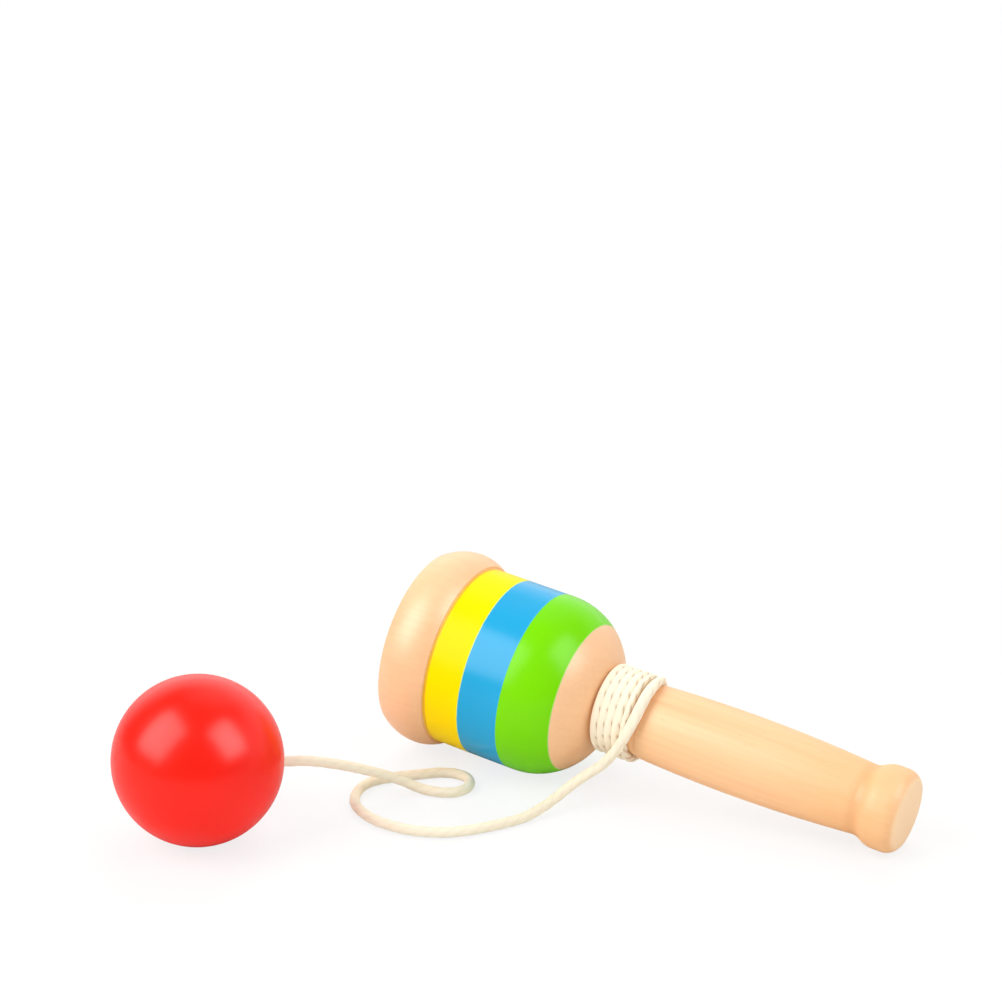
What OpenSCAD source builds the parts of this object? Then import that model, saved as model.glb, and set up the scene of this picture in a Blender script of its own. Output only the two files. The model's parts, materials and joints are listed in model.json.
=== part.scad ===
// Cup and ball toy: a turned wooden cup on a handle, and a lacquered ball on a cotton cord.
// Millimetres, +Z up. The toy lies on the cup's shoulder and its knob, with the ball beside it.
// The profile is drawn with the radius across and the distance from the mouth plane upwards.

/* [Cup] */
// Play between the ball and the mouth, all round
mouth_play = 0.5; // [0.3:0.1:1.5]
// Thickness of the wall between the mouth and the body
cup_wall = 2; // [1.5:0.1:4]
// How far the rim's bead stands out past the body
rim_out = 2.5; // [1.5:0.1:4]
// Height of the rim's bead along the axis
rim_h = 14.5; // [13:0.1:16]
// Height of the bead's quick round towards the body
foot_run = 6.5; // [4:0.1:8]
// Depth of the straight lip of the hollow
lip_depth = 7.2; // [6:0.1:9]
// Depth of the whole hollow
hollow_depth = 20; // [17:0.5:24]
// Height of the cup along the axis
cup_h = 57.5; // [55:0.5:61]

/* [Coats] */
// Height where the yellow coat ends and the blue begins
yellow_end = 24.8; // [20:0.1:28]
// Width of the blue coat
blue_w = 12; // [8:0.5:14]
// Width of the green coat
green_w = 13.9; // [8:0.1:16]
// Thickness of a lacquer coat
coat_t = 0.25; // [0.15:0.05:0.4]

/* [Handle] */
// Length of the handle past the cup
handle_len = 88.1; // [80:0.1:100]
// Radius of the neck under the winding
neck_r = 9.95; // [9.2:0.05:10.1]
// Radius of the grip at its fullest
grip_r = 11.15; // [10.8:0.05:12]
// Radius of the grip in the groove before the knob
groove_r = 9.6; // [9.2:0.05:9.9]
// Radius of the knob
knob_r = 11.4; // [11:0.05:12.5]
// Length of the knob, from the groove
knob_len = 12.3; // [11:0.1:14]
// Radius of the tenon in the cup
tenon_r = 6; // [5:0.1:7]
// Length of the tenon
tenon_len = 15.5; // [12:0.5:18]

/* [Cord] */
// Diameter of the free cord
cord_d = 2.8; // [2:0.1:3]
// Diameter of the cord where it is wound tight
wound_d = 1.7; // [1.4:0.05:2]
// Turns wound on the neck before the last strand
wind_turns = 5; // [4:1:6]
// Space between two turns
wind_gap = 0.42; // [0.4:0.01:0.6]

/* [Ball] */
// Diameter of the ball
ball_d = 45; // [42:0.5:45.5]
// Place of the ball along the toy, from the mouth
ball_x = -21; // [-26:0.5:-16]
// Place of the ball across the toy, from the axis
ball_y = -81.3; // [-90:0.1:-78]
// Depth of the cord's hole in the ball
bore_depth = 14; // [10:0.5:20]

/* [Hidden] */
$fn = 96;

// named clearances
lip_round = 1.25;
lip_cut = 0.02;
foot_step = 0.3;
foot_groove = 0.5;
base_step = 0.2;
socket_relief = 0.5;
neck_play = 0.12;
first_turn_gap = 0.45;
neck_spare = 0.3;
bore_play = 0.4;
straight_run = 1.1;
overcut = 1;
lap = 0.5;
floor_play = 0.25;

// radii of the mouth, the body and the rim, from the ball outwards
ball_r = ball_d / 2;
mouth_r = ball_r + mouth_play;
body_r = mouth_r + cup_wall;
rim_r = body_r + rim_out;

// bead of the rim: a slow crown that just cuts the lip's round, and a quick one towards the body
bead_peak = rim_h - foot_run;
lip_c = mouth_r + lip_round - lip_cut;
lip_in = lip_round - lip_cut;
crown_run = bead_peak - lip_round;
crown_w = rim_r - lip_c;
crown_arc = (crown_w * crown_w + crown_run * crown_run - lip_in * lip_in) / (2 * (crown_w - lip_in));
crown_s = lip_round * (1 - crown_run / (crown_arc - lip_in));
foot_drop = rim_r - body_r - foot_step;
foot_arc = (foot_run * foot_run + foot_drop * foot_drop) / (2 * foot_drop);

// round base, and the bowl of the hollow
base_turn = 75;
base_arc = (body_r - neck_r - base_step) / (1 - cos(base_turn));
base_s = cup_h - base_arc * sin(base_turn);
base_c = body_r - base_arc;
bowl_depth = hollow_depth - lip_depth;
bowl_arc = (mouth_r * mouth_r + bowl_depth * bowl_depth) / (2 * bowl_depth);
blue_end = yellow_end + blue_w;
green_end = blue_end + green_w;
coat_start = rim_h + foot_groove;

// cord and winding, round the neck
cord_r = cord_d / 2;
wound_r = wound_d / 2;
wind_pitch = wound_d + wind_gap;
wind_r = neck_r + wound_r + neck_play;
over_r = wind_r + wound_d + wind_gap;
wind_s0 = cup_h + wound_r + first_turn_gap;
wind_s1 = wind_s0 + wind_turns * wind_pitch;
wind_phi0 = 130;
bend_r = wound_d;
hole_r = 0.7 * wound_d;
hole_shift = 0.175 * wound_d;
hole_floor = 5;
neck_end = wind_s1 + wound_r + neck_spare;

// handle: a long arc for the grip, and a hollow round that runs into the knob's
toy_len = cup_h + handle_len;
groove_s = toy_len - knob_len;
belly_share = 0.4175;
grip_s = neck_end + belly_share * (groove_s - neck_end);
grip_drop = grip_r - groove_r;
grip_run = groove_s - grip_s;
grip_arc = (grip_run * grip_run + grip_drop * grip_drop) / (2 * grip_drop);
shoulder_r = grip_r - grip_arc + sqrt(pow(grip_arc, 2) - pow(grip_s - neck_end, 2));
shoulder_round = 0.8;
cove_r = 5;
cove_c = groove_r + cove_r;
knob_arc = 6.3;
knob_c = knob_r - knob_arc;
knob_s = groove_s + sqrt(pow(knob_arc + cove_r, 2) - pow(cove_c - knob_c, 2));
cove_t = knob_arc / (knob_arc + cove_r);
end_round = 4.2;
end_turn = 60;

// tilt of the axis: the knob's end and whichever of the cup's rounds is lower touch the table
knob_end_s = toy_len - end_round * sin(end_turn);
knob_end_c = knob_r - end_round;
end_r = knob_end_c + end_round * cos(end_turn);
function lean(s, c, arc) = atan2(c - knob_end_c, knob_end_s - s)
    + asin((arc - end_round) / norm([knob_end_s - s, c - knob_end_c]));
tilt = max(lean(bead_peak, rim_r - foot_arc, foot_arc), lean(base_s, base_c, base_arc));
axis_z = knob_end_s * sin(tilt) + knob_end_c * cos(tilt) + end_round;

// the row's origin is under the middle of the box round the toy and the ball
x_low = ball_x - ball_r;
x_high = toy_len * cos(tilt) + end_r * sin(tilt);
y_low = ball_y - ball_r;
y_high = rim_r;
shift_x = -(x_low + x_high) / 2;
shift_y = -(y_low + y_high) / 2;

// a point round the axis: angle from the viewer's side upwards, radius, distance from the mouth
function around(phi, r, s) = [-r * sin(phi), -r * cos(phi), s];
function on_table(p) = [p[2] * cos(tilt) - p[0] * sin(tilt), p[1],
    axis_z - p[0] * cos(tilt) - p[2] * sin(tilt)];
function unit(v) = v / norm(v);
function last(p) = p[len(p) - 1];
function total(v, i = 0) = i < len(v) ? v[i] + total(v, i + 1) : 0;

// winding's path: up out of the neck's hole, round the bend, the turns, then the strand laid over them
turn_steps = 24;
bend_steps = 4;
root_c = wind_r - bend_r;
hole_phi = wind_phi0 + bend_r / wind_r * 180 / PI;
in_hole = [for (r = [hole_floor, hole_floor + wound_d / 2, hole_floor + wound_d])
    around(hole_phi, r, wind_s0)];
in_bend = [for (i = [0:bend_steps - 1])
    let (t = 90 * i / bend_steps)
    around(hole_phi - bend_r * (1 - cos(t)) / wind_r * 180 / PI, root_c + bend_r * sin(t), wind_s0)];
in_turns = [for (i = [0:wind_turns * turn_steps])
    around(wind_phi0 - 360 * i / turn_steps, wind_r, wind_s0 + wind_pitch * i / turn_steps)];
// angle, climb from the first layer to the second, and distance on from the end of the turns
over_strand = [[118, 0.08, 0.35], [106, 0.25, 0.75], [94, 0.45, 1.1], [82, 0.6, 1.25], [70, 0.65, 1.3],
    [58, 0.65, 1.3], [46, 0.65, 1.3], [34, 0.68, 1.2], [22, 0.76, 0.95], [11, 0.88, 0.5], [0, 1, -0.1]];
in_over = [for (o = over_strand) around(o[0], wind_r + o[1] * (over_r - wind_r), wind_s1 + o[2])];
leave_dir = unit([1, 0, -0.42]);
leave = last(in_over);
in_end = [leave + leave_dir * wound_d / 2, leave + leave_dir * wound_d * straight_run];
winding_path = concat(in_hole, in_bend, in_turns, in_over, in_end);

// least space between the winding and itself, measured between points well apart along it
gap_skip = 6;
function least_gap(p, d, skip) = min([for (i = [0:len(p) - 1 - skip]) for (j = [i + skip:len(p) - 1])
    norm(p[i] - p[j])]) - d;
winding_gap = least_gap(winding_path, wound_d, gap_skip);
echo(winding_gap = winding_gap);

// free cord: leaves the winding, drops to the table, loops twice and rises to the ball
exit_point = on_table(last(winding_path));
exit_dir = unit(exit_point - on_table(winding_path[len(winding_path) - 2]));
bore_dir = unit([0.6, 0.77, -0.2]);
ball_at = [ball_x, ball_y, ball_r];
bore_mouth = ball_at + ball_r * bore_dir;
cord_z = cord_r + floor_play;
// steps from the exit along and across, and the share of the exit's height
lead_off = [[-4.9, -0.3, 0.63], [-9.1, -2.9, 0.45], [-12.2, -5.8, 0.31], [-14.2, -9.8, 0.205],
    [-16.2, -15, 0.13]];
// the loops on the table
on_floor = [[49, -34], [43, -43.2], [37, -49.4], [31, -52.6], [25.5, -54], [20, -54.1], [14.9, -53.2],
    [9.9, -50.9], [5.8, -47.5], [3.4, -43.2], [2.4, -38], [3.7, -33.2], [7.6, -28.5], [12.6, -24],
    [16.6, -20.6], [20.6, -19.2], [24.2, -19.7], [26.8, -22.1], [27.6, -25.5], [26.2, -28.8], [23, -30.8]];
// steps from the hole's mouth, rising to the ball
rise = [[25, 31.8, -16], [20, 28.6, -13.1], [15.6, 22.2, -9], [10.5, 14.2, -4.7], [5, 6.9, -1.7]];
cord_route = concat(
    [exit_point, exit_point + exit_dir * cord_d * straight_run],
    [for (p = lead_off) [exit_point[0] + p[0], exit_point[1] + p[1], max(cord_z, exit_point[2] * p[2])]],
    [for (p = on_floor) [p[0], p[1], cord_z]],
    [for (p = rise) [bore_mouth[0] + p[0], bore_mouth[1] + p[1], max(cord_z, bore_mouth[2] + p[2])]],
    [bore_mouth + bore_dir * cord_d * straight_run, bore_mouth, bore_mouth - bore_dir * bore_depth]);

// a smooth curve through the route, two rings to each step except in the straight ends
function curve(a, b, c, d, t) = 0.5 * (2 * b + (c - a) * t + (2 * a - 5 * b + 4 * c - d) * t * t
    + (3 * b - a - 3 * c + d) * t * t * t);
route_n = len(cord_route);
cord_path = concat(
    [cord_route[0], cord_route[1]],
    [for (i = [1:route_n - 4]) for (t = [0.5, 1])
        curve(cord_route[i - 1], cord_route[i], cord_route[i + 1], cord_route[i + 2], t)],
    [cord_route[route_n - 2], cord_route[route_n - 1]]);
cord_len = total([for (i = [1:len(cord_path) - 1]) norm(cord_path[i] - cord_path[i - 1])]);
cord_gap = least_gap(cord_path, cord_d, gap_skip);
echo(cord_len = cord_len, cord_rings = len(cord_path), cord_gap = cord_gap);

cup();
yellow_band();
blue_band();
green_band();
handle();
neck_winding();
cord();
ball();

// lays a piece drawn along the axis on the table
module lay() {
    translate([shift_x, shift_y, axis_z]) rotate([0, 90 + tilt, 0]) children();
}

// everything out to a width, between two heights
module band_2d(from, to, width) {
    translate([0, from]) square([width, to - from]);
}

// everything inside an arc, between two heights
module arc_2d(c, s, r, from, to) {
    intersection() {
        translate([c, s]) circle(r, $fn = 360);
        band_2d(from, to, rim_r + overcut);
    }
}

// tube of round rings along a path
module tube(path, r, sides) {
    n = len(path);
    way = [for (i = [0:n - 1]) unit(path[min(i + 1, n - 1)] - path[max(i - 1, 0)])];
    rings = [for (i = [0:n - 1])
        let (side = unit(cross(way[i], [0, 0, 1])), up = cross(side, way[i]))
        for (k = [0:sides - 1])
            path[i] + r * (cos(360 * k / sides) * side + sin(360 * k / sides) * up)];
    walls = [for (i = [0:n - 2]) for (k = [0:sides - 1])
        let (a = i * sides + k, b = i * sides + (k + 1) % sides)
        [a, b, b + sides, a + sides]];
    first_cap = [[for (k = [sides - 1:-1:0]) k]];
    last_cap = [[for (k = [0:sides - 1]) (n - 1) * sides + k]];
    polyhedron(points = rings, faces = concat(walls, first_cap, last_cap), convexity = 10);
}

// everything inside the body's outline at a depth under it, between two heights
module body_2d(depth, from, to) {
    intersection() {
        union() {
            band_2d(rim_h, base_s, body_r - depth);
            arc_2d(base_c, base_s, base_arc - depth, base_s, cup_h);
        }
        band_2d(from, to, rim_r);
    }
}

// the rim's bead: the round lip and the crown, then the foot, round one core
module rim_2d() {
    intersection() {
        arc_2d(rim_r - crown_arc, bead_peak, crown_arc, -lip_round, bead_peak);
        union() {
            translate([lip_c, lip_round]) circle(lip_round);
            translate([lip_c, crown_s]) square(2 * lip_round);
            band_2d(lip_round, bead_peak, rim_r + overcut);
        }
    }
    arc_2d(rim_r - foot_arc, bead_peak, foot_arc, bead_peak, rim_h);
    band_2d(lip_depth, coat_start, body_r);
}

// the cup's solid outline, with a shallow seat for the coats
module cup_2d() {
    rim_2d();
    body_2d(coat_t, rim_h, cup_h);
    body_2d(0, green_end, cup_h);
}

// the hollow that catches the ball
module hollow_2d() {
    band_2d(-overcut, lip_depth, mouth_r);
    arc_2d(0, hollow_depth - bowl_arc, bowl_arc, lip_depth, hollow_depth);
}

// turned cup, open at the mouth, with a socket for the handle's tenon in its base
module cup() {
    color("#f2c391") lay() rotate_extrude() difference() {
        cup_2d();
        hollow_2d();
        band_2d(cup_h - tenon_len - socket_relief, cup_h + overcut, tenon_r);
        translate([body_r + foot_step, rim_h]) circle(foot_groove);
    }
}

// a lacquer coat round the body, between two heights
module coat(from, to) {
    lay() rotate_extrude() difference() {
        body_2d(0, from, to);
        body_2d(coat_t, from - overcut, to + overcut);
    }
}

module yellow_band() {
    color("#fbe603") coat(coat_start, yellow_end);
}

module blue_band() {
    color("#3cc0f2") coat(yellow_end, blue_end);
}

module green_band() {
    color("#7bdc02") coat(blue_end, green_end);
}

// the handle's outline: tenon, neck, grip, groove and knob, each lapped a little into the next
module handle_2d() {
    band_2d(cup_h - tenon_len, cup_h + lap, tenon_r);
    band_2d(cup_h, neck_end + shoulder_round, neck_r);
    band_2d(neck_end, neck_end + shoulder_round + lap, shoulder_r - shoulder_round);
    translate([shoulder_r - shoulder_round, neck_end + shoulder_round]) circle(shoulder_round);
    intersection() {
        translate([grip_r - grip_arc, grip_s]) circle(grip_arc, $fn = 2400);
        band_2d(neck_end + shoulder_round, knob_s + lap, rim_r);
    }
    difference() {
        polygon([[knob_c, groove_s], [cove_c, groove_s],
            [knob_c + (cove_c - knob_c) * cove_t, knob_s + (groove_s - knob_s) * cove_t], [knob_c, knob_s]]);
        translate([cove_c, groove_s]) circle(cove_r, $fn = 360);
    }
    arc_2d(knob_c, knob_s, knob_arc, groove_s, knob_s + lap);
    band_2d(knob_s, knob_end_s, knob_r);
    band_2d(groove_s, toy_len, knob_end_c);
    arc_2d(knob_end_c, knob_end_s, end_round, knob_end_s - lap, toy_len);
}

// turned handle, with the hole in its neck that the cord starts from
module handle() {
    color("#f7d79c") lay() difference() {
        rotate_extrude() handle_2d();
        translate([0, 0, wind_s0]) rotate([0, 0, -hole_phi]) rotate([90, 0, 0])
            translate([hole_shift, 0, hole_floor]) cylinder(r = hole_r, h = rim_r);
    }
}

// the cord wound on the neck, one unbroken tube
module neck_winding() {
    color("#f7eedb") lay() tube(winding_path, wound_r, 6);
}

// the free cord, one unbroken tube into the ball
module cord() {
    color("#f7eedb") translate([shift_x, shift_y, 0]) tube(cord_path, cord_r, 8);
}

// lacquered ball, with the hole that the cord is held in
module ball() {
    turn = atan2(bore_dir[1], bore_dir[0]);
    steep = acos(bore_dir[2]);
    color("#f5301c") translate([shift_x + ball_x, shift_y + ball_y, ball_r]) rotate([0, steep, turn])
        difference() {
            sphere(ball_r);
            translate([0, 0, ball_r - bore_depth]) cylinder(r = cord_r + bore_play, h = ball_r);
        }
}
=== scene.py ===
# Cup and ball toy: a turned beech cup on a handle, and a lacquered ball tied to its neck by a cotton cord.
# Metres, +Z up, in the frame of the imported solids. The toy lies on its side, with its ball in front of it.
import json

import bpy
import numpy as np
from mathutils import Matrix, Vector


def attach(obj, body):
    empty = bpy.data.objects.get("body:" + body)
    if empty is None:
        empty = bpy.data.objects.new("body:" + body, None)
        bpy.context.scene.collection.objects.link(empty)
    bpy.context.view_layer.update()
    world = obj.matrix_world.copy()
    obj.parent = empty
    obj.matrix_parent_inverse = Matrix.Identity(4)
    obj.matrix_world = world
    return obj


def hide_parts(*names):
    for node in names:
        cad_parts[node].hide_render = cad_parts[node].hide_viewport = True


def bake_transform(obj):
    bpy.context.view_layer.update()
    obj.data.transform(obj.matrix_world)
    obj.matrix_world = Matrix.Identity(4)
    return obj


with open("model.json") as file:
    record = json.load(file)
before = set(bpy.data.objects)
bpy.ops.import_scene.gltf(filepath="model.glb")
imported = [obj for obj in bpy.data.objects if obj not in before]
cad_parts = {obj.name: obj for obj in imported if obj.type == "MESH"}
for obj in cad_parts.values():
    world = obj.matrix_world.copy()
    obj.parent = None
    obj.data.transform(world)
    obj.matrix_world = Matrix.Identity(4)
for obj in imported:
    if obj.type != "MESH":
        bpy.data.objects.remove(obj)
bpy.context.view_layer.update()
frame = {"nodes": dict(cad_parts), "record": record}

# Cup
# A beech cup turned on a lathe from one block, with the grain along its axis: a round bead at the rim, a
# straight body that carries the coats, and a round base. Clear satin varnish covers the bare wood.
MM = 0.001
toy_length = 145.6
mounts = {mount["name"]: mount for mount in frame["record"]["mounts"]}
toy_axis = np.array(mounts["handle_end"]["axis"], float)
mouth_centre = np.array(mounts["handle_end"]["pos_m"], float) / MM - toy_length * toy_axis
tilt = float(np.arcsin(-toy_axis[2]))


def linear(hex_colour):
    """An sRGB hex colour as linear red, green, blue and full alpha."""
    shown = np.array([int(hex_colour[i:i + 2], 16) for i in (1, 3, 5)]) / 255
    light = np.where(shown <= 0.04045, shown / 12.92, ((shown + 0.055) / 1.055) ** 2.4)
    return (*light.tolist(), 1.0)


def put(tree, kind, sockets=None, **settings):
    """Adds one node: settings are its own properties, and sockets maps an input to a value or an output."""
    made = tree.nodes.new(kind)
    for name, value in settings.items():
        setattr(made, name, value)
    for key, value in (sockets or {}).items():
        if isinstance(value, bpy.types.NodeSocket):
            tree.links.new(value, made.inputs[key])
        else:
            made.inputs[key].default_value = value
    return made


def turned_wood(name, tones, ring_width, pith, streaks, seed, varnish, satin, painted=(), tints_and_shade=()):
    """Wood with its grain along the toy's axis, in a pale tone, a dark one and that of its rays. In
    millimetres from the mouth, growth rings stand about a pith line at the given offsets across and up,
    wander slowly, and darken towards one side; fibres are noise drawn out some twenty-five times along the
    axis, and rays are short dark dashes along it. Painted gives a place along the axis, a half width, a
    least radius and a colour, where lacquer has run into a groove; tints_and_shade gives a place, a half
    width, a share and a colour that fades out from that place, used for tints of the wood and for painted
    shade in a groove."""
    pale, dark, line = tones
    wood = bpy.data.materials.new(name)
    wood.use_nodes = True
    tree = wood.node_tree
    skin = tree.nodes["Principled BSDF"]
    where = put(tree, "ShaderNodeTexCoord")
    along = put(tree, "ShaderNodeMapping", {
        "Vector": where.outputs["Object"], "Location": (mouth_centre * MM).tolist(),
        "Rotation": (0, tilt, 0), "Scale": (MM, MM, MM)}, vector_type="TEXTURE")
    spot = along.outputs["Vector"]

    drift_place = put(tree, "ShaderNodeMapping", {
        "Vector": spot, "Location": (seed, 0, 0), "Scale": (0.012, 0.06, 0.06)})
    drift = put(tree, "ShaderNodeTexNoise", {
        "Vector": drift_place.outputs["Vector"], "Scale": 1.0, "Detail": 2.0})
    from_pith = put(tree, "ShaderNodeMapping", {"Vector": spot, "Location": (0, *pith), "Scale": (0, 1, 1)})
    far = put(tree, "ShaderNodeVectorMath", {0: from_pith.outputs["Vector"]}, operation="LENGTH")
    wander = put(tree, "ShaderNodeMath", {
        0: drift.outputs["Fac"], 1: 3.0 * ring_width, 2: far.outputs["Value"]}, operation="MULTIPLY_ADD")
    year = put(tree, "ShaderNodeMath", {0: wander.outputs["Value"], 1: ring_width}, operation="DIVIDE")
    season = put(tree, "ShaderNodeMath", {0: year.outputs["Value"]}, operation="FRACT")
    late = put(tree, "ShaderNodeMapRange", {
        "Value": season.outputs["Value"], "From Min": 0.35, "From Max": 0.92},
        interpolation_type="SMOOTHSTEP")
    early = put(tree, "ShaderNodeMapRange", {
        "Value": season.outputs["Value"], "From Min": 0.92, "From Max": 1.0, "To Min": 1.0, "To Max": 0.0})
    ring = put(tree, "ShaderNodeMath", {
        0: late.outputs["Result"], 1: early.outputs["Result"]}, operation="MULTIPLY")

    fibre_place = put(tree, "ShaderNodeMapping", {
        "Vector": spot, "Location": (seed, 0, 0), "Scale": (0.04, 1.1, 1.1)})
    fibre = put(tree, "ShaderNodeTexNoise", {
        "Vector": fibre_place.outputs["Vector"], "Scale": 1.0, "Detail": 4.0})
    streak_place = put(tree, "ShaderNodeMapping", {
        "Vector": spot, "Location": (0, seed, 0), "Scale": (0.018, 0.3, 0.3)})
    streak = put(tree, "ShaderNodeTexNoise", {
        "Vector": streak_place.outputs["Vector"], "Scale": 1.0, "Detail": 3.0})
    streak_mark = put(tree, "ShaderNodeMapRange", {
        "Value": streak.outputs["Fac"], "From Min": 0.5, "From Max": 0.78, "To Max": streaks},
        interpolation_type="SMOOTHSTEP")
    ray_place = put(tree, "ShaderNodeMapping", {
        "Vector": spot, "Location": (0, 0, seed), "Scale": (0.3, 2.6, 2.6)})
    ray = put(tree, "ShaderNodeTexNoise", {
        "Vector": ray_place.outputs["Vector"], "Scale": 1.0, "Detail": 1.0})
    ray_mark = put(tree, "ShaderNodeMapRange", {
        "Value": ray.outputs["Fac"], "From Min": 0.73, "From Max": 0.8, "To Max": 0.4})

    grain = put(tree, "ShaderNodeMath", {
        0: ring.outputs["Value"], 1: 0.1, 2: streak_mark.outputs["Result"]}, operation="MULTIPLY_ADD")
    grain = put(tree, "ShaderNodeMath", {
        0: fibre.outputs["Fac"], 1: 0.55, 2: grain.outputs["Value"]},
        operation="MULTIPLY_ADD", use_clamp=True)
    tone = put(tree, "ShaderNodeMix", {
        "Factor": grain.outputs["Value"], "A": linear(pale), "B": linear(dark)}, data_type="RGBA")
    flecked = put(tree, "ShaderNodeMix", {
        "Factor": ray_mark.outputs["Result"], "A": tone.outputs["Result"], "B": linear(line)},
        data_type="RGBA")
    shade = flecked.outputs["Result"]

    parts = put(tree, "ShaderNodeSeparateXYZ", {"Vector": spot})
    from_axis = put(tree, "ShaderNodeMapping", {"Vector": spot, "Scale": (0, 1, 1)})
    reach = put(tree, "ShaderNodeVectorMath", {0: from_axis.outputs["Vector"]}, operation="LENGTH")
    for place, width, inside, colour in painted:
        band = put(tree, "ShaderNodeMath", {
            0: parts.outputs["X"], 1: place, 2: width}, operation="COMPARE")
        outer = put(tree, "ShaderNodeMath", {
            0: reach.outputs["Value"], 1: inside}, operation="GREATER_THAN")
        run_in = put(tree, "ShaderNodeMath", {
            0: band.outputs["Value"], 1: outer.outputs["Value"]}, operation="MULTIPLY")
        painted_tone = put(tree, "ShaderNodeMix", {
            "Factor": run_in.outputs["Value"], "A": shade, "B": linear(colour)}, data_type="RGBA")
        shade = painted_tone.outputs["Result"]
    # Tints of the wood and painted shade, each strongest at its place and fading out over its half width.
    for place, width, most, colour in tints_and_shade:
        apart = put(tree, "ShaderNodeMath", {0: parts.outputs["X"], 1: place}, operation="SUBTRACT")
        apart = put(tree, "ShaderNodeMath", {0: apart.outputs["Value"]}, operation="ABSOLUTE")
        tint_and_shade_share = put(tree, "ShaderNodeMapRange", {
            "Value": apart.outputs["Value"], "From Max": width, "To Min": most, "To Max": 0.0},
            interpolation_type="SMOOTHSTEP")
        tint_and_shade_tone = put(tree, "ShaderNodeMix", {
            "Factor": tint_and_shade_share.outputs["Result"], "A": shade, "B": linear(colour)}, data_type="RGBA")
        shade = tint_and_shade_tone.outputs["Result"]

    sheen = put(tree, "ShaderNodeMapRange", {
        "Value": fibre.outputs["Fac"], "From Min": 0.3, "From Max": 0.7,
        "To Min": satin, "To Max": satin + 0.08})
    raised = put(tree, "ShaderNodeBump", {
        "Height": fibre.outputs["Fac"], "Strength": 0.12, "Distance": 0.0001})
    tree.links.new(shade, skin.inputs["Base Color"])
    tree.links.new(sheen.outputs["Result"], skin.inputs["Roughness"])
    tree.links.new(raised.outputs["Normal"], skin.inputs["Normal"])
    skin.inputs["IOR"].default_value = 1.45
    skin.inputs["Coat Weight"].default_value = varnish
    skin.inputs["Coat Roughness"].default_value = 0.75 * satin
    return wood


# Beech heart under varnish: a pinkish tan with faint rings 3 mm apart and small brown ray flecks. Some of
# the yellow lacquer has run into the groove under the rim's bead.
cup_beech = turned_wood(
    "varnished_beech_cup", ("#FCCA99", "#F4B887", "#B87F52"), 3.0, (48.0, 70.0), 0.2, 11.0, 0.45, 0.43,
    painted=[(14.7, 0.56, 24.0, "#FBCB10")])
frame["nodes"]["cup"].data.materials.clear()
frame["nodes"]["cup"].data.materials.append(cup_beech)

# Coats
# Three coats of toy lacquer were laid on while the cup turned on the lathe: yellow, blue and green. They
# dry smooth and glossy, with faint lines from the turning and a thin pale line where a coat stops.


def toy_lacquer(name, colour, deep, centre, turn, mirror, rough, edges):
    """Gloss lacquer on turned wood. Its colour drifts by a few per cent over 30 mm, its skin has a soft
    ripple 2 mm across and fine lines 0.7 mm apart round the axis, mirror and rough set its gloss, and each
    edge is a place along the axis, a width and a colour where the coat thins out."""
    lacquer = bpy.data.materials.new(name)
    lacquer.use_nodes = True
    tree = lacquer.node_tree
    skin = tree.nodes["Principled BSDF"]
    where = put(tree, "ShaderNodeTexCoord")
    along = put(tree, "ShaderNodeMapping", {
        "Vector": where.outputs["Object"], "Location": centre, "Rotation": turn, "Scale": (MM, MM, MM)},
        vector_type="TEXTURE")
    spot = along.outputs["Vector"]

    drift = put(tree, "ShaderNodeTexNoise", {"Vector": spot, "Scale": 0.033, "Detail": 1.0})
    body_tone = put(tree, "ShaderNodeMix", {
        "Factor": drift.outputs["Fac"], "A": linear(deep), "B": linear(colour)}, data_type="RGBA")
    tone = body_tone.outputs["Result"]
    parts = put(tree, "ShaderNodeSeparateXYZ", {"Vector": spot})
    ragged = put(tree, "ShaderNodeTexNoise", {"Vector": spot, "Scale": 0.5, "Detail": 2.0})
    for place, width, edge_colour in edges:
        wavy = put(tree, "ShaderNodeMath", {
            0: ragged.outputs["Fac"], 1: width, 2: parts.outputs["X"]}, operation="MULTIPLY_ADD")
        thin = put(tree, "ShaderNodeMath", {
            0: wavy.outputs["Value"], 1: place + width / 2, 2: width}, operation="COMPARE")
        edge_tone = put(tree, "ShaderNodeMix", {
            "Factor": thin.outputs["Value"], "A": tone, "B": linear(edge_colour)}, data_type="RGBA")
        tone = edge_tone.outputs["Result"]

    ripple = put(tree, "ShaderNodeTexNoise", {"Vector": spot, "Scale": 0.5, "Detail": 0.0})
    line_place = put(tree, "ShaderNodeMapping", {"Vector": spot, "Scale": (1.4, 0.05, 0.05)})
    lines = put(tree, "ShaderNodeTexNoise", {
        "Vector": line_place.outputs["Vector"], "Scale": 1.0, "Detail": 1.0})
    skin_height = put(tree, "ShaderNodeMath", {
        0: lines.outputs["Fac"], 1: 0.5, 2: ripple.outputs["Fac"]}, operation="MULTIPLY_ADD")
    raised = put(tree, "ShaderNodeBump", {
        "Height": skin_height.outputs["Value"], "Strength": 0.03, "Distance": 0.0001})
    tree.links.new(tone, skin.inputs["Base Color"])
    tree.links.new(raised.outputs["Normal"], skin.inputs["Normal"])
    skin.inputs["Roughness"].default_value = rough
    skin.inputs["IOR"].default_value = 1.45
    skin.inputs["Specular IOR Level"].default_value = mirror
    return lacquer


# Toy lacquer: clear bright colours with soft-edged reflections, the blue one the glossiest of the three.
coat_centre = (mouth_centre * MM).tolist()
coat_turn = (0, tilt, 0)
coats = {
    "yellow_band": ("#FFE300", "#FFDB00", 0.06, 0.3, []),
    "blue_band": ("#24A8DA", "#1EA2D5", 0.3, 0.2, [(24.8, 0.22, "#BEE08C")]),
    "green_band": ("#7CDE00", "#75D500", 0.18, 0.24, [(50.7, 0.2, "#C4D480")])}
for coat, (colour, deep, mirror, rough, edges) in coats.items():
    lacquer = toy_lacquer("lacquer_" + coat, colour, deep, coat_centre, coat_turn, mirror, rough, edges)
    frame["nodes"][coat].data.materials.clear()
    frame["nodes"][coat].data.materials.append(lacquer)
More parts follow.
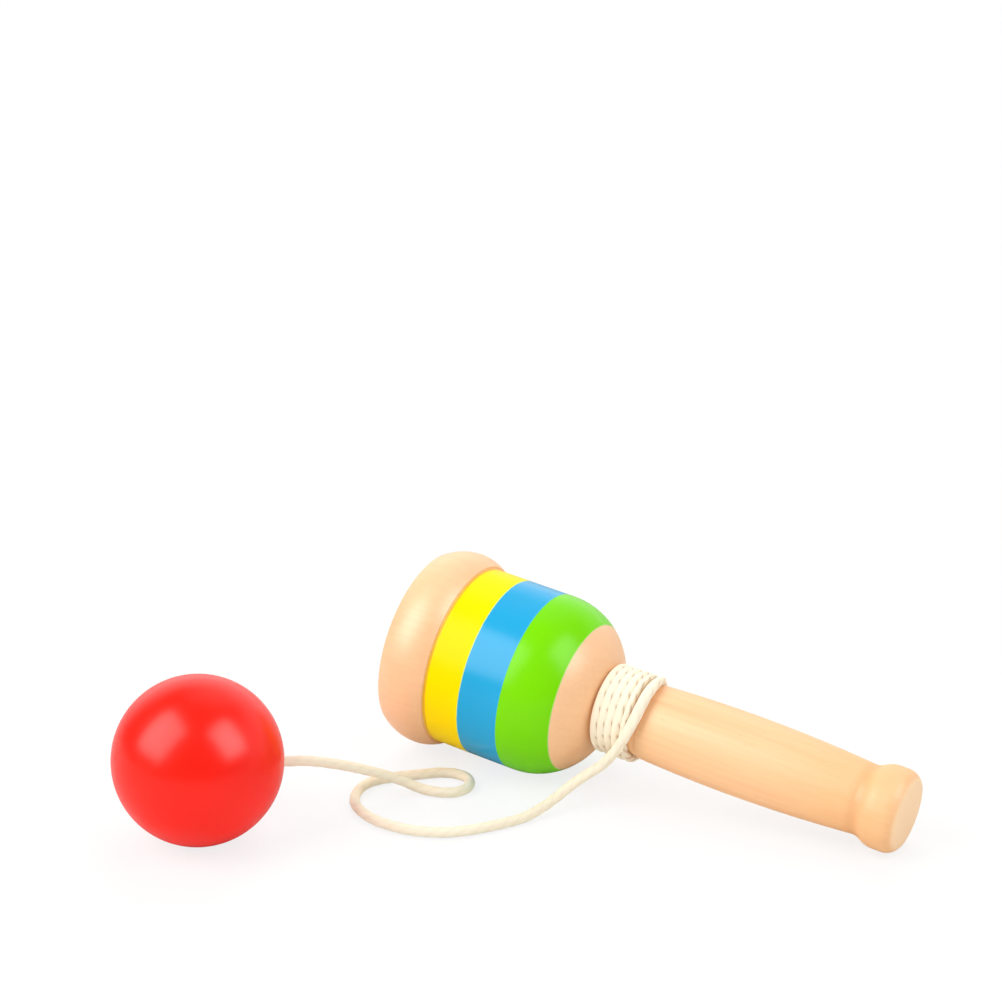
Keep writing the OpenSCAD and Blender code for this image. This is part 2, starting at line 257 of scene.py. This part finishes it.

# Handle
# A second piece of pale wood, turned with a thin neck, a long swelling grip, a groove and a round knob. Its
# tenon is glued into the cup's base, and its straight grain runs the whole length under clear varnish.

# Pale straight-grained wood: long soft streaks and rings 2 mm apart, warmer towards the knob and paler on
# the sawn end, with painted shade, a darker amber band, in the groove before the knob.
handle_wood = turned_wood(
    "varnished_straight_grain_handle", ("#FCCC98", "#F3B380", "#BE8A54"), 2.0, (30.0, 95.0), 0.35, 4.0,
    0.25, 0.5,
    tints_and_shade=[
        (toy_length - 12.0, 30.0, 0.4, "#F0B270"),
        # Painted shade: a darker amber band in the groove before the knob.
        (toy_length - 11.6, 3.4, 0.5, "#E3A168"),
        (toy_length, 1.0, 0.75, "#FFDCB2")])
frame["nodes"]["handle"].data.materials.clear()
frame["nodes"]["handle"].data.materials.append(handle_wood)

# Neck winding
# Three soft strands of unbleached cotton are laid into one cord. Its tail goes into a hole in the neck, and
# five tight turns and one strand laid over them hold it there, without glue.
wind_radius = 11.1
over_radius = 13.1
wind_pitch = 2.12
wind_start = 58.8
wind_angle = 130.0
wind_turns = 5
turn_steps = 24
bend_radius = 1.7
hole_floor = 5.0
wound_height = 2.35
cord_thickness = 2.8
strand_lay = 11.5
toy_down = np.array([toy_axis[2], 0.0, -toy_axis[0]])


def round_the_neck(turned):
    """Rows of angle, radius and distance from the mouth become points: the angle runs from the near side
    up over the axis, so a point is the mouth's centre, plus the distance along the axis, plus the radius
    times minus the angle's cosine across and minus its sine downwards."""
    angle, radius, along = np.asarray(turned, float).T
    angle = np.radians(angle)
    across = -radius * np.cos(angle)
    below = -radius * np.sin(angle)
    sideways = across[:, None] * np.array([0, 1, 0]) + below[:, None] * toy_down
    return mouth_centre + along[:, None] * toy_axis + sideways


def lie(points, step):
    """A smooth line through points: each stretch is the cubic that leaves one point parallel to the chord
    of its two neighbours and reaches the next the same way, and the line is then cut into equal steps."""
    points = np.asarray(points, float)
    held = np.vstack([2 * points[0] - points[1], points, 2 * points[-1] - points[-2]])
    before, here, there, after = (held[i:len(held) - 3 + i, None, :] for i in range(4))
    t = np.linspace(0, 1, 40, endpoint=False)[None, :, None]
    cubic = 2 * here + (there - before) * t
    cubic = cubic + (2 * before - 5 * here + 4 * there - after) * t ** 2
    cubic = cubic + (3 * here - before - 3 * there + after) * t ** 3
    fine = np.vstack([0.5 * cubic.reshape(-1, 3), points[-1:]])
    run = np.append(0, np.cumsum(np.linalg.norm(np.diff(fine, axis=0), axis=1)))
    even = np.linspace(0, run[-1], int(round(run[-1] / step)) + 1)
    return np.stack([np.interp(even, run, fine[:, k]) for k in range(3)], axis=1)


def laid_strands(path, high, wide, steady, first_crest, pressed, sides=36):
    """Three strands laid round a path: the surface is a point of the path plus half the height in the
    direction of the angle's cosine and half the width in that of its sine. Both shrink by a few per cent
    where two strands meet, which follows three circles set off the middle by 0.22 of the radius, each 0.78
    of it in radius, that turn once in each lay along the path. Where the cord is pressed against its own
    turns, the meeting lines become short dimples on the flank where the sine is positive, and wander."""
    way = np.gradient(path, axis=0)
    way = way / np.linalg.norm(way, axis=1)[:, None]
    side = np.cross(way, steady)
    side = side / np.linalg.norm(side, axis=1)[:, None]
    top = np.cross(side, way)
    run = np.append(0, np.cumsum(np.linalg.norm(np.diff(path, axis=0), axis=1)))
    start = np.arctan2(first_crest @ top[0], first_crest @ side[0])
    press = np.broadcast_to(pressed, run.shape)[:, None]
    wander = 0.22 * np.sin(0.31 * run) + 0.15 * np.sin(0.83 * run + 1.7)
    crest = start + 2 * np.pi * run / strand_lay + press[:, 0] * wander
    angle = np.linspace(0, 2 * np.pi, sides, endpoint=False)
    third = 2 * np.pi / 3
    off = np.mod(angle[None, :] - crest[:, None] + third / 2, third) - third / 2
    circles = 0.22 * np.cos(off) + np.sqrt(0.78 ** 2 - (0.22 * np.sin(off)) ** 2)
    meeting = np.clip((1 - circles) / 0.133, 0, 1)
    flank = np.clip((np.sin(angle)[None, :] - 0.15) / 0.38, 0, 1) ** 2
    dimple = press * flank * meeting ** 2
    share = 1 - 0.045 * (1 - press) * meeting - 0.24 * dimple
    up = share * np.cos(angle)[None, :] * (np.broadcast_to(high, run.shape) / 2)[:, None]
    across = share * np.sin(angle)[None, :] * (np.broadcast_to(wide, run.shape) / 2)[:, None]
    surface = path[:, None, :] + up[:, :, None] * side[:, None, :] + across[:, :, None] * top[:, None, :]
    # Painted shade where two strands meet: faint along the free cord's meeting lines and strongest in the
    # dimples between pressed turns.
    crease_shade = 0.3 * (1 - press) * meeting + 0.85 * press * flank * meeting
    place = np.stack(np.broadcast_arrays(
        run[:, None], np.cos(angle)[None, :], np.sin(angle)[None, :]), axis=2)
    last_crest = np.cos(crest[-1]) * side[-1] + np.sin(crest[-1]) * top[-1]
    return surface, crease_shade, place, last_crest


def cord_piece(name, path, surface, crease_shade, place):
    """Rings of points become one closed skin: each point joins its neighbour round the ring and the same
    two of the next ring, and a fan closes each end. The painted shade in the strands' creases and their lay
    go with the points."""
    rings, sides = crease_shade.shape
    ring = np.arange(rings - 1)[:, None] * sides
    here = np.arange(sides)[None, :]
    there = (here + 1) % sides
    after = ring + sides
    walls = np.stack([ring + here, ring + there, after + there, after + here], axis=2).reshape(-1, 4)
    first, last = rings * sides, rings * sides + 1
    head = np.stack([np.full(sides, first), there[0], here[0]], axis=1)
    end_ring = (rings - 1) * sides
    tail = np.stack([np.full(sides, last), end_ring + here[0], end_ring + there[0]], axis=1)
    points = np.vstack([surface.reshape(-1, 3), path[:1], path[-1:]]) * MM
    mesh = bpy.data.meshes.new(name)
    mesh.from_pydata(points.tolist(), [], walls.tolist() + head.tolist() + tail.tolist())
    mesh.polygons.foreach_set("use_smooth", np.arange(len(mesh.polygons)) < len(walls))
    ends = np.array([[0, 0, 0], [place[-1, 0, 0], 0, 0]])
    crease_shade_attribute = mesh.attributes.new("strand_crease_shade", "FLOAT", "POINT")
    crease_shade_attribute.data.foreach_set("value", np.append(crease_shade.ravel(), [0.5, 0.5]))
    where = mesh.attributes.new("strand_place", "FLOAT_VECTOR", "POINT")
    where.data.foreach_set("vector", np.vstack([place.reshape(-1, 3), ends]).ravel())
    mesh.update()
    piece = bpy.data.objects.new(name, mesh)
    bpy.context.scene.collection.objects.link(piece)
    return piece


# Soft twisted cotton: matt and creamy, with fine yarns along the strands and a little bloom at its edges,
# and painted shade, warmer and darker, where two strands meet. Yarns are 0.28 mm wide and about 4 mm long
# before they dip under.
cotton = bpy.data.materials.new("soft_twisted_cotton")
cotton.use_nodes = True
tree = cotton.node_tree
skin = tree.nodes["Principled BSDF"]
lay = put(tree, "ShaderNodeAttribute", attribute_name="strand_place")
crease_shade_attribute = put(tree, "ShaderNodeAttribute", attribute_name="strand_crease_shade")
yarn_place = put(tree, "ShaderNodeMapping", {"Vector": lay.outputs["Vector"], "Scale": (0.25, 5.0, 5.0)})
yarns = put(tree, "ShaderNodeTexNoise", {
    "Vector": yarn_place.outputs["Vector"], "Scale": 1.0, "Detail": 3.0})
patch_place = put(tree, "ShaderNodeMapping", {"Vector": lay.outputs["Vector"], "Scale": (0.12, 0.6, 0.6)})
patches = put(tree, "ShaderNodeTexNoise", {
    "Vector": patch_place.outputs["Vector"], "Scale": 1.0, "Detail": 2.0})
# Painted shade: the crease shade, squared, mixes the cotton towards a warm brown.
deep = put(tree, "ShaderNodeMath", {0: crease_shade_attribute.outputs["Fac"], 1: 2.0}, operation="POWER")
yarn_tone = put(tree, "ShaderNodeMix", {
    "Factor": yarns.outputs["Fac"], "A": linear("#F3E7CC"), "B": linear("#FAF1DC")}, data_type="RGBA")
patch_tone = put(tree, "ShaderNodeMix", {
    "Factor": patches.outputs["Fac"], "A": yarn_tone.outputs["Result"], "B": linear("#F6ECD4")},
    data_type="RGBA")
cotton_tone = put(tree, "ShaderNodeMix", {
    "Factor": deep.outputs["Value"], "A": patch_tone.outputs["Result"], "B": linear("#BC8C60")},
    data_type="RGBA")
yarn_bump = put(tree, "ShaderNodeBump", {
    "Height": yarns.outputs["Fac"], "Strength": 0.5, "Distance": 0.00015})
tree.links.new(cotton_tone.outputs["Result"], skin.inputs["Base Color"])
tree.links.new(yarn_bump.outputs["Normal"], skin.inputs["Normal"])
skin.inputs["Roughness"].default_value = 0.9
skin.inputs["Specular IOR Level"].default_value = 0.2
skin.inputs["Sheen Weight"].default_value = 0.2
skin.inputs["Sheen Roughness"].default_value = 0.5

# The path in rows of angle, radius and distance: tail, bend, turns, then the strand that climbs over the
# last turn and comes down in front. Widths and the press of the turns go by the length left to its end.
bend_turn = np.radians(np.arange(0, 90, 22.5))
hole_angle = wind_angle + np.degrees(bend_radius / wind_radius)
tail_rows = [(hole_angle, hole_floor + k * bend_radius / 2, wind_start) for k in range(3)]
bend_rows = np.stack([
    hole_angle - np.degrees(bend_radius * (1 - np.cos(bend_turn)) / wind_radius),
    wind_radius - bend_radius * (1 - np.sin(bend_turn)),
    np.full(4, wind_start)], axis=1)
turned = np.arange(wind_turns * turn_steps + 1) / turn_steps
turn_rows = np.stack([
    wind_angle - 360 * turned, np.full(len(turned), wind_radius), wind_start + wind_pitch * turned], axis=1)
over_angle = np.array([118, 106, 94, 82, 70, 58, 46, 34, 22, 11, 0])
over_climb = np.array([0.08, 0.25, 0.45, 0.6, 0.65, 0.65, 0.65, 0.68, 0.76, 0.88, 1])
over_shift = np.array([0.7, 1.3, 1.65, 1.75, 1.7, 1.65, 1.6, 1.45, 1.15, 0.6, -0.1])
over_rows = np.stack([
    over_angle - 360 * wind_turns,
    wind_radius + over_climb * (over_radius - wind_radius),
    wind_start + wind_pitch * wind_turns + over_shift], axis=1)
wound_points = round_the_neck(np.vstack([tail_rows, bend_rows, turn_rows, over_rows]))
leave_way = toy_down - 0.42 * toy_axis
leave_way = leave_way / np.linalg.norm(leave_way)
leave_points = wound_points[-1] + np.array([[0.85], [1.87]]) * leave_way
wound_path = lie(np.vstack([wound_points, leave_points]), 0.2)
wound_left = 0.2 * np.arange(len(wound_path))[::-1]
wound_wide = np.interp(
    wound_left, [0, 5, 9, 18, 27, 95, 112, 300, 320], [2.8, 2.9, 3.1, 3.1, 2.1, 2.1, 2.9, 2.9, 2.8])
wound_high = np.interp(wound_left, [0, 7], [cord_thickness, wound_height])
wound_press = np.interp(wound_left, [14, 26], [0, 1])
wound_skin, wound_crease_shade, wound_place, wound_crest = laid_strands(
    wound_path, wound_high, wound_wide, toy_axis, np.array([0.0, -1.0, 0.0]), wound_press)
winding = cord_piece("cotton_winding", wound_path, wound_skin, wound_crease_shade, wound_place)
winding.data.materials.append(cotton)
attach(winding, "toy")
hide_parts("neck_winding")

# Free cord
# The same cotton cord, 2.8 mm thick where nothing presses it. It runs straight out of the winding, down to
# the table, through a wide loop and a small one, and up into the ball's hole, where it is held.
table_height = 1.65
joints = {joint["name"]: joint for joint in frame["record"]["behaviour"]["joints"]}
ball_centre = np.array(joints["ball_spin"]["pos_m"], float) / MM
bore_way = np.array(joints["ball_spin"]["axis"], float)
bore_mouth = ball_centre + 22.5 * bore_way
exit_point = wound_path[-1]
lead_off = np.array([
    [-4.9, -0.3, 0.63], [-9.1, -2.9, 0.45], [-12.2, -5.8, 0.31], [-14.2, -9.8, 0.205], [-16.2, -15, 0.13]])
lead_points = np.stack([
    exit_point[0] + lead_off[:, 0], exit_point[1] + lead_off[:, 1], exit_point[2] * lead_off[:, 2]], axis=1)
on_table = np.array([
    [49, -34], [43, -43.2], [37, -49.4], [31, -52.6], [25.5, -54], [20, -54.1], [14.9, -53.2], [9.9, -50.9],
    [5.8, -47.5], [3.4, -43.2], [2.4, -38], [3.7, -33.2], [7.6, -28.5], [12.6, -24], [16.6, -20.6],
    [20.6, -19.2], [24.2, -19.7], [26.8, -22.1], [27.6, -25.5], [26.2, -28.8], [23, -30.8]])
below_mouth = np.array([mouth_centre[0], mouth_centre[1], 0.0])
table_points = below_mouth + np.column_stack([on_table, np.full(len(on_table), table_height)])
rise_points = bore_mouth + np.array([
    [25, 31.8, -16], [20, 28.6, -13.1], [15.6, 22.2, -9], [10.5, 14.2, -4.7], [5, 6.9, -1.7]])
bore_points = bore_mouth + np.array([[3.08], [0], [-14]]) * bore_way
leave_stretch = [exit_point, exit_point + 3.08 * leave_way]
cord_path = lie(np.vstack([leave_stretch, lead_points, table_points, rise_points, bore_points]), 0.15)
cord_skin, cord_crease_shade, cord_place, cord_crest = laid_strands(
    cord_path, cord_thickness, cord_thickness, np.array([0.0, 0.0, 1.0]), wound_crest, 0.0)
cord = cord_piece("cotton_cord", cord_path, cord_skin, cord_crease_shade, cord_place)
cord.data.materials.append(cotton)
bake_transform(cord)
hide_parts("cord")

# Ball
# A turned wooden ball, 45 mm across, dipped in red lacquer. One blind hole is drilled towards its middle,
# and the cord is held inside it.

# Toy lacquer, dipped: a deep even red, glossier than the cup's coats, with both panels mirrored in it.
ball_turn = Vector(bore_way).to_track_quat("X", "Z").to_euler()
ball_lacquer = toy_lacquer(
    "lacquer_ball", "#FD1A03", "#F81602", (ball_centre * MM).tolist(), tuple(ball_turn), 0.4, 0.26, [])
frame["nodes"]["ball"].data.materials.clear()
frame["nodes"]["ball"].data.materials.append(ball_lacquer)

# Table and light
# A table covered in white paper runs out of view. Soft panels stand to the left and the right of the
# camera, a third hangs overhead behind the toy, and white walls give an even light from all sides.
half = 3.0
table_mesh = bpy.data.meshes.new("table")
corners = [(-half, -half, 0), (half, -half, 0), (half, half, 0), (-half, half, 0)]
table_mesh.from_pydata(corners, [], [(0, 1, 2, 3)])
table = bpy.data.objects.new("table", table_mesh)
bpy.context.scene.collection.objects.link(table)

# Matt white paper: the camera sees most of it as plain white, and the rest keeps the toy's soft shadow.
# In the lacquer it shows a little greyer, so that the coats keep their colour at their undersides.
paper = bpy.data.materials.new("white_paper")
paper.use_nodes = True
tree = paper.node_tree
skin = tree.nodes["Principled BSDF"]
skin.inputs["Roughness"].default_value = 0.9
skin.inputs["Specular IOR Level"].default_value = 0.0
ray_kind = put(tree, "ShaderNodeLightPath")
paper_tone = put(tree, "ShaderNodeMix", {
    "Factor": ray_kind.outputs["Is Glossy Ray"], "A": linear("#F2F2F0"), "B": linear("#C0C0BE")},
    data_type="RGBA")
tree.links.new(paper_tone.outputs["Result"], skin.inputs["Base Color"])
where = put(tree, "ShaderNodeTexCoord")
far = put(tree, "ShaderNodeVectorMath", {0: where.outputs["Object"]}, operation="LENGTH")
plain = put(tree, "ShaderNodeMapRange", {
    "Value": far.outputs["Value"], "From Min": 0.1, "From Max": 0.26, "To Min": 0.8},
    interpolation_type="SMOOTHSTEP")
seen = put(tree, "ShaderNodeMath", {
    0: ray_kind.outputs["Is Camera Ray"], 1: plain.outputs["Result"]}, operation="MULTIPLY")
white = put(tree, "ShaderNodeEmission", {"Strength": 1.0})
shown = put(tree, "ShaderNodeMixShader", {
    0: seen.outputs["Value"], 1: skin.outputs["BSDF"], 2: white.outputs["Emission"]})
tree.links.new(shown.outputs["Shader"], tree.nodes["Material Output"].inputs["Surface"])
table_mesh.materials.append(paper)

# Each panel is a pair of lamps: one lights the toy, and one just in front of it is what the gloss mirrors.
# A row gives its place, the point it faces, its width and height, and the levels of the two.
panels = {
    "left_panel": ((-0.455, -0.527, 0.606), (-0.06, -0.03, 0.02), 0.69, 0.83, 3.55, 4.4),
    "right_panel": ((0.588, -0.006, 0.575), (-0.04, -0.02, 0.02), 0.52, 0.64, 2.0, 5.4),
    "back_panel": ((-0.25, 0.7, 0.9), (0.0, 0.0, 0.02), 0.8, 0.8, 3.1, 0.0)}
for name, (place, target, width, height, lit, mirrored) in panels.items():
    facing = (Vector(target) - Vector(place)).normalized()
    for part, level, step in (("_lit", lit, 0.0), ("_mirrored", mirrored, 0.02)):
        lamp = bpy.data.lights.new(name + part, "AREA")
        lamp.shape = "RECTANGLE"
        lamp.size = width
        lamp.size_y = height
        lamp.energy = level * np.pi * width * height
        panel = bpy.data.objects.new(name + part, lamp)
        panel.location = Vector(place) + step * facing
        panel.rotation_euler = facing.to_track_quat("-Z", "Y").to_euler()
        panel.visible_camera = False
        panel.visible_diffuse = part == "_lit"
        panel.visible_glossy = part == "_mirrored"
        bpy.context.scene.collection.objects.link(panel)

# White walls: plain white to the camera, an even light on the toy, and dim in the gloss except for the
# lower part of the wall behind the toy, which edges the tops of the coats.
wall_level = 0.45
mirrored_level = 0.15
mirrored_back = 1.1
walls = bpy.data.worlds.new("white_walls")
bpy.context.scene.world = walls
walls.use_nodes = True
tree = walls.node_tree
ray_kind = put(tree, "ShaderNodeLightPath")
where = put(tree, "ShaderNodeTexCoord")
heading = put(tree, "ShaderNodeSeparateXYZ", {"Vector": where.outputs["Generated"]})
behind = put(tree, "ShaderNodeMapRange", {
    "Value": heading.outputs["Y"], "From Min": 0.0, "From Max": 0.6, "To Max": mirrored_back},
    interpolation_type="SMOOTHSTEP")
below = put(tree, "ShaderNodeMapRange", {
    "Value": heading.outputs["Z"], "From Min": 0.45, "From Max": 0.8, "To Min": 1.0, "To Max": 0.0},
    interpolation_type="SMOOTHSTEP")
mirrored = put(tree, "ShaderNodeMath", {
    0: behind.outputs["Result"], 1: below.outputs["Result"], 2: mirrored_level}, operation="MULTIPLY_ADD")
glossy = put(tree, "ShaderNodeMath", {
    0: ray_kind.outputs["Is Glossy Ray"], 1: ray_kind.outputs["Is Transmission Ray"]}, operation="MAXIMUM")
level = put(tree, "ShaderNodeMix", {
    "Factor": glossy.outputs["Value"], "A": wall_level, "B": mirrored.outputs["Value"]})
level = put(tree, "ShaderNodeMix", {
    "Factor": ray_kind.outputs["Is Camera Ray"], "A": level.outputs["Result"], "B": 1.0})
tree.nodes["Background"].inputs["Color"].default_value = (1.0, 1.0, 1.0, 1.0)
tree.links.new(level.outputs["Result"], tree.nodes["Background"].inputs["Strength"])
bpy.context.scene.view_settings.view_transform = "Standard"

# Camera
# A long lens stands a little to the right of the toy and looks down on it by 21 degrees,
# from about eight tenths of a metre, so that nearly all of the cup's side and the ball are in view.
camera_data = bpy.data.cameras.new("camera")
camera_data.sensor_width = 36.0
camera_data.lens = 107.78
camera = bpy.data.objects.new("camera", camera_data)
camera.location = (0.335328, -0.62164, 0.3654)
camera.rotation_euler = Vector((-0.44898, 0.81811, -0.35932)).to_track_quat("-Z", "Y").to_euler()
bpy.context.scene.collection.objects.link(camera)
bpy.context.scene.camera = camera

bpy.context.view_layer.update()
